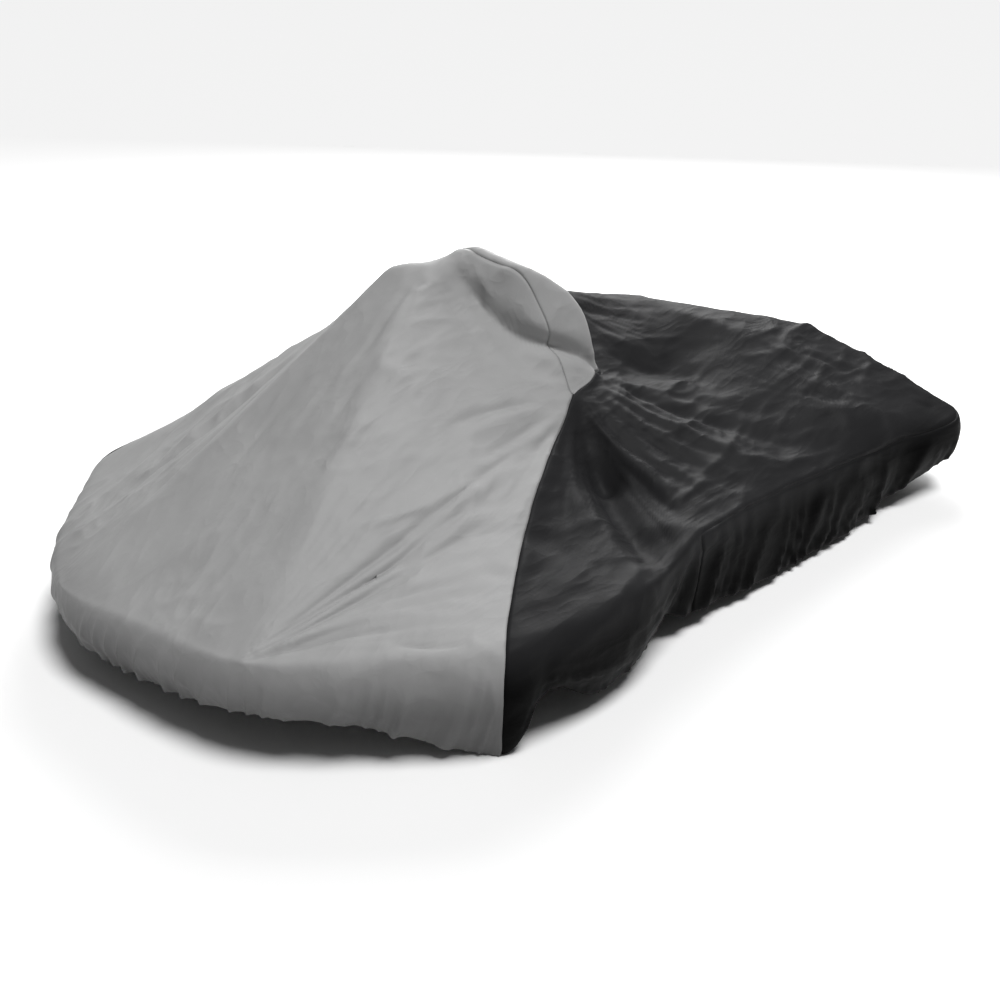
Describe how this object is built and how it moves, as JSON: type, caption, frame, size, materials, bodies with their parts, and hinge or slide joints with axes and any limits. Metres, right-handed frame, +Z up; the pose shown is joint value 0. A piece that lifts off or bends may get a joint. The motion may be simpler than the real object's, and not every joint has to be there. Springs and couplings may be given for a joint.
{
  "type": "kart cover",
  "caption": "Fitted two-tone weather cover for a racing kart, in its draped shape, with a gathered skirt round the rear and an elastic hem.",
  "frame": {"origin": "under the middle of the cover's box, level with its lowest hem", "axes": "+Z up, +Y towards the rear of the kart, +X towards the kart's left side"},
  "size_m": [1.3814, 1.99, 0.6632],
  "materials": {
    "grey_cloth": "polyurethane-coated woven polyester, dull sheen, creased",
    "black_cloth": "polyurethane-coated woven polyester, soft sheen, creased"
  },
  "bodies": {
    "root": {"front_panel": "grey_cloth", "peak_panel": "grey_cloth", "rear_panel": "black_cloth", "rear_skirt": "black_cloth"}
  },
  "joints": []
}
